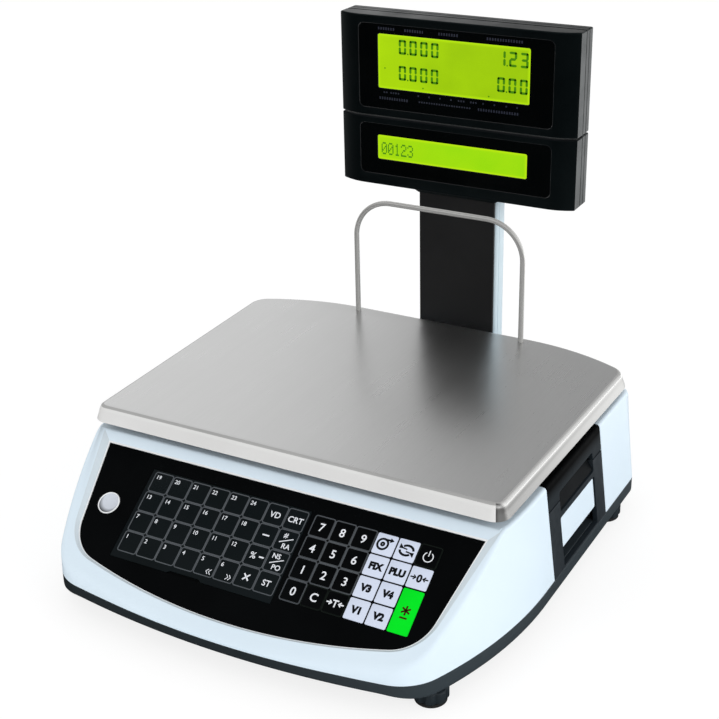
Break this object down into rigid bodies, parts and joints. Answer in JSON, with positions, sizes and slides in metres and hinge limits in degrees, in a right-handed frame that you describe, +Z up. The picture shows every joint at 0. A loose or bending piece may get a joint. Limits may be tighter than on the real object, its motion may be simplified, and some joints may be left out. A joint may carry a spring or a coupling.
{
  "type": "retail price scale",
  "caption": "Counter price-computing scale with steel platter, guard rail, sloped keyboard, label printer cassette and a pole-mounted operator display.",
  "frame": {"origin": "centre of the overall footprint, at the level the four feet stand on", "axes": "+X to the operator's right (the printer side), +Y away from the operator towards the pole, +Z up"},
  "size_m": [0.369, 0.4194, 0.3795],
  "materials": {
    "white_plastic": "smooth moulded plastic with a soft gloss",
    "black_plastic": "fine-grained moulded plastic, satin",
    "gloss_black": "smooth glossy film or acrylic",
    "preset_film": "smoked film pocket over the preset sheet",
    "brushed_steel": "stainless sheet, brushed along the object's depth",
    "cast_aluminium": "cast or milled aluminium, dull",
    "column_paint": "powder-coated extrusion, pale blue-grey",
    "lcd_green": "backlit yellow-green liquid-crystal glass",
    "key_white": "printed film key face, pale",
    "key_black": "printed film key face, black",
    "key_green": "printed film key face, bright green",
    "rubber": "moulded rubber",
    "paper": "wound label paper on its liner",
    "board": "fibreglass circuit board with green resist",
    "silver_lens": "domed level window with a mirror-like face"
  },
  "bodies": {
    "case": {"base_case": "black_plastic", "pole_bracket": "black_plastic", "pole_front_cover": "black_plastic", "display_lower_front": "black_plastic", "display_lower_rear": "black_plastic", "display_upper_front": "black_plastic", "display_upper_rear": "black_plastic", "printer_cover": "black_plastic", "top_case": "white_plastic", "keyboard_panel": "gloss_black", "upper_lens": "gloss_black", "lower_lens": "gloss_black", "preset_sheet": "preset_film", "spirit_level": "silver_lens", "load_cell": "cast_aluminium", "print_head": "cast_aluminium", "power_supply": "cast_aluminium", "pole_column": "column_paint", "upper_lcd": "lcd_green", "lower_lcd": "lcd_green", "main_board": "board"},
    "key_7": {"key_7": "key_black"},
    "key_8": {"key_8": "key_black"},
    "key_9": {"key_9": "key_black"},
    "key_feed": {"key_feed": "key_white"},
    "key_swap": {"key_swap": "key_white"},
    "key_power": {"key_power": "key_black"},
    "key_4": {"key_4": "key_black"},
    "key_5": {"key_5": "key_black"},
    "key_6": {"key_6": "key_black"},
    "key_fix": {"key_fix": "key_white"},
    "key_plu": {"key_plu": "key_white"},
    "key_zero": {"key_zero": "key_white"},
    "key_1": {"key_1": "key_black"},
    "key_2": {"key_2": "key_black"},
    "key_3": {"key_3": "key_black"},
    "key_v3": {"key_v3": "key_white"},
    "key_v4": {"key_v4": "key_white"},
    "key_print": {"key_print": "key_green"},
    "key_0": {"key_0": "key_black"},
    "key_clear": {"key_clear": "key_black"},
    "key_tare": {"key_tare": "key_black"},
    "key_v1": {"key_v1": "key_white"},
    "key_v2": {"key_v2": "key_white"},
    "cassette": {"cassette": "black_plastic"},
    "take_up_spool": {"take_up_spool": "black_plastic"},
    "release_flap": {"release_flap": "white_plastic"},
    "platter": {"platter": "brushed_steel"},
    "guard_rail": {"guard_rail": "brushed_steel"},
    "platter_support": {"platter_support": "cast_aluminium"},
    "label_roll": {"label_roll": "paper"},
    "platen_roller": {"platen_roller": "rubber"},
    "foot_pad_front_left": {"foot_pad_front_left": "rubber"},
    "foot_screw_front_left": {"foot_screw_front_left": "black_plastic"},
    "foot_pad_front_right": {"foot_pad_front_right": "rubber"},
    "foot_screw_front_right": {"foot_screw_front_right": "black_plastic"},
    "foot_pad_rear_left": {"foot_pad_rear_left": "rubber"},
    "foot_screw_rear_left": {"foot_screw_rear_left": "black_plastic"},
    "foot_pad_rear_right": {"foot_pad_rear_right": "rubber"},
    "foot_screw_rear_right": {"foot_screw_rear_right": "black_plastic"}
  },
  "joints": [
    {"name": "key_7_press", "type": "slide", "parent": "case", "child": "key_7", "axis": [0, 0.5592, -0.829], "range_m": [0, 0.0006]},
    {"name": "key_8_press", "type": "slide", "parent": "case", "child": "key_8", "axis": [0, 0.5592, -0.829], "range_m": [0, 0.0006]},
    {"name": "key_9_press", "type": "slide", "parent": "case", "child": "key_9", "axis": [0, 0.5592, -0.829], "range_m": [0, 0.0006]},
    {"name": "key_feed_press", "type": "slide", "parent": "case", "child": "key_feed", "axis": [0, 0.5592, -0.829], "range_m": [0, 0.0006]},
    {"name": "key_swap_press", "type": "slide", "parent": "case", "child": "key_swap", "axis": [0, 0.5592, -0.829], "range_m": [0, 0.0006]},
    {"name": "key_power_press", "type": "slide", "parent": "case", "child": "key_power", "axis": [0, 0.5592, -0.829], "range_m": [0, 0.0006]},
    {"name": "key_4_press", "type": "slide", "parent": "case", "child": "key_4", "axis": [0, 0.5592, -0.829], "range_m": [0, 0.0006]},
    {"name": "key_5_press", "type": "slide", "parent": "case", "child": "key_5", "axis": [0, 0.5592, -0.829], "range_m": [0, 0.0006]},
    {"name": "key_6_press", "type": "slide", "parent": "case", "child": "key_6", "axis": [0, 0.5592, -0.829], "range_m": [0, 0.0006]},
    {"name": "key_fix_press", "type": "slide", "parent": "case", "child": "key_fix", "axis": [0, 0.5592, -0.829], "range_m": [0, 0.0006]},
    {"name": "key_plu_press", "type": "slide", "parent": "case", "child": "key_plu", "axis": [0, 0.5592, -0.829], "range_m": [0, 0.0006]},
    {"name": "key_zero_press", "type": "slide", "parent": "case", "child": "key_zero", "axis": [0, 0.5592, -0.829], "range_m": [0, 0.0006]},
    {"name": "key_1_press", "type": "slide", "parent": "case", "child": "key_1", "axis": [0, 0.5592, -0.829], "range_m": [0, 0.0006]},
    {"name": "key_2_press", "type": "slide", "parent": "case", "child": "key_2", "axis": [0, 0.5592, -0.829], "range_m": [0, 0.0006]},
    {"name": "key_3_press", "type": "slide", "parent": "case", "child": "key_3", "axis": [0, 0.5592, -0.829], "range_m": [0, 0.0006]},
    {"name": "key_v3_press", "type": "slide", "parent": "case", "child": "key_v3", "axis": [0, 0.5592, -0.829], "range_m": [0, 0.0006]},
    {"name": "key_v4_press", "type": "slide", "parent": "case", "child": "key_v4", "axis": [0, 0.5592, -0.829], "range_m": [0, 0.0006]},
    {"name": "key_print_press", "type": "slide", "parent": "case", "child": "key_print", "axis": [0, 0.5592, -0.829], "range_m": [0, 0.0006]},
    {"name": "key_0_press", "type": "slide", "parent": "case", "child": "key_0", "axis": [0, 0.5592, -0.829], "range_m": [0, 0.0006]},
    {"name": "key_clear_press", "type": "slide", "parent": "case", "child": "key_clear", "axis": [0, 0.5592, -0.829], "range_m": [0, 0.0006]},
    {"name": "key_tare_press", "type": "slide", "parent": "case", "child": "key_tare", "axis": [0, 0.5592, -0.829], "range_m": [0, 0.0006]},
    {"name": "key_v1_press", "type": "slide", "parent": "case", "child": "key_v1", "axis": [0, 0.5592, -0.829], "range_m": [0, 0.0006]},
    {"name": "key_v2_press", "type": "slide", "parent": "case", "child": "key_v2", "axis": [0, 0.5592, -0.829], "range_m": [0, 0.0006]},
    {"name": "foot_front_left_height", "type": "slide", "parent": "case", "child": "foot_pad_front_left", "axis": [0, 0, -1], "range_m": [-0.0009, 0.0051]},
    {"name": "foot_front_left_turn", "type": "hinge", "parent": "foot_pad_front_left", "child": "foot_screw_front_left", "pos_m": [-0.149, -0.167, 0.003], "axis": [0, 0, 1], "range_deg": [-240, 1440]},
    {"name": "foot_front_right_height", "type": "slide", "parent": "case", "child": "foot_pad_front_right", "axis": [0, 0, -1], "range_m": [-0.0009, 0.0051]},
    {"name": "foot_front_right_turn", "type": "hinge", "parent": "foot_pad_front_right", "child": "foot_screw_front_right", "pos_m": [0.149, -0.167, 0.003], "axis": [0, 0, 1], "range_deg": [-240, 1440]},
    {"name": "foot_rear_left_height", "type": "slide", "parent": "case", "child": "foot_pad_rear_left", "axis": [0, 0, -1], "range_m": [-0.0009, 0.0051]},
    {"name": "foot_rear_left_turn", "type": "hinge", "parent": "foot_pad_rear_left", "child": "foot_screw_rear_left", "pos_m": [-0.171, 0.114, 0.003], "axis": [0, 0, 1], "range_deg": [-240, 1440]},
    {"name": "foot_rear_right_height", "type": "slide", "parent": "case", "child": "foot_pad_rear_right", "axis": [0, 0, -1], "range_m": [-0.0009, 0.0051]},
    {"name": "foot_rear_right_turn", "type": "hinge", "parent": "foot_pad_rear_right", "child": "foot_screw_rear_right", "pos_m": [0.171, 0.114, 0.003], "axis": [0, 0, 1], "range_deg": [-240, 1440]},
    {"name": "weigh_deflection", "type": "slide", "parent": "case", "child": "platter_support", "axis": [0, 0, -1], "range_m": [0, 0.0006]},
    {"name": "platter_lift", "type": "slide", "parent": "platter_support", "child": "platter", "axis": [0, 0, 1], "range_m": [0, 0.08]},
    {"name": "guard_lift", "type": "slide", "parent": "platter", "child": "guard_rail", "axis": [0, 0, 1], "range_m": [0, 0.03]},
    {"name": "cassette_draw", "type": "slide", "parent": "case", "child": "cassette", "axis": [1, 0, 0], "range_m": [0, 0.095]},
    {"name": "release_flap_pull", "type": "hinge", "parent": "cassette", "child": "release_flap", "pos_m": [0.17752, -0.01, 0.065], "axis": [0, -1, 0], "range_deg": [0, 32]},
    {"name": "platen_roller_turn", "type": "hinge", "parent": "cassette", "child": "platen_roller", "pos_m": [0.1525, -0.013, 0.07], "axis": [0, 1, 0], "continuous": true},
    {"name": "label_roll_turn", "type": "hinge", "parent": "cassette", "child": "label_roll", "pos_m": [0.123, -0.013, 0.052], "axis": [0, 1, 0], "continuous": true},
    {"name": "take_up_spool_turn", "type": "hinge", "parent": "cassette", "child": "take_up_spool", "pos_m": [0.151, -0.013, 0.038], "axis": [0, 1, 0], "continuous": true}
  ],
  "couplings": [
    {"joint": "foot_front_left_height", "follows": "foot_front_left_turn", "m_per_rad": 0.00019894},
    {"joint": "foot_front_right_height", "follows": "foot_front_right_turn", "m_per_rad": 0.00019894},
    {"joint": "foot_rear_left_height", "follows": "foot_rear_left_turn", "m_per_rad": 0.00019894},
    {"joint": "foot_rear_right_height", "follows": "foot_rear_right_turn", "m_per_rad": 0.00019894},
    {"joint": "label_roll_turn", "follows": "platen_roller_turn", "ratio": 0.21739},
    {"joint": "take_up_spool_turn", "follows": "platen_roller_turn", "ratio": 0.71429}
  ]
}
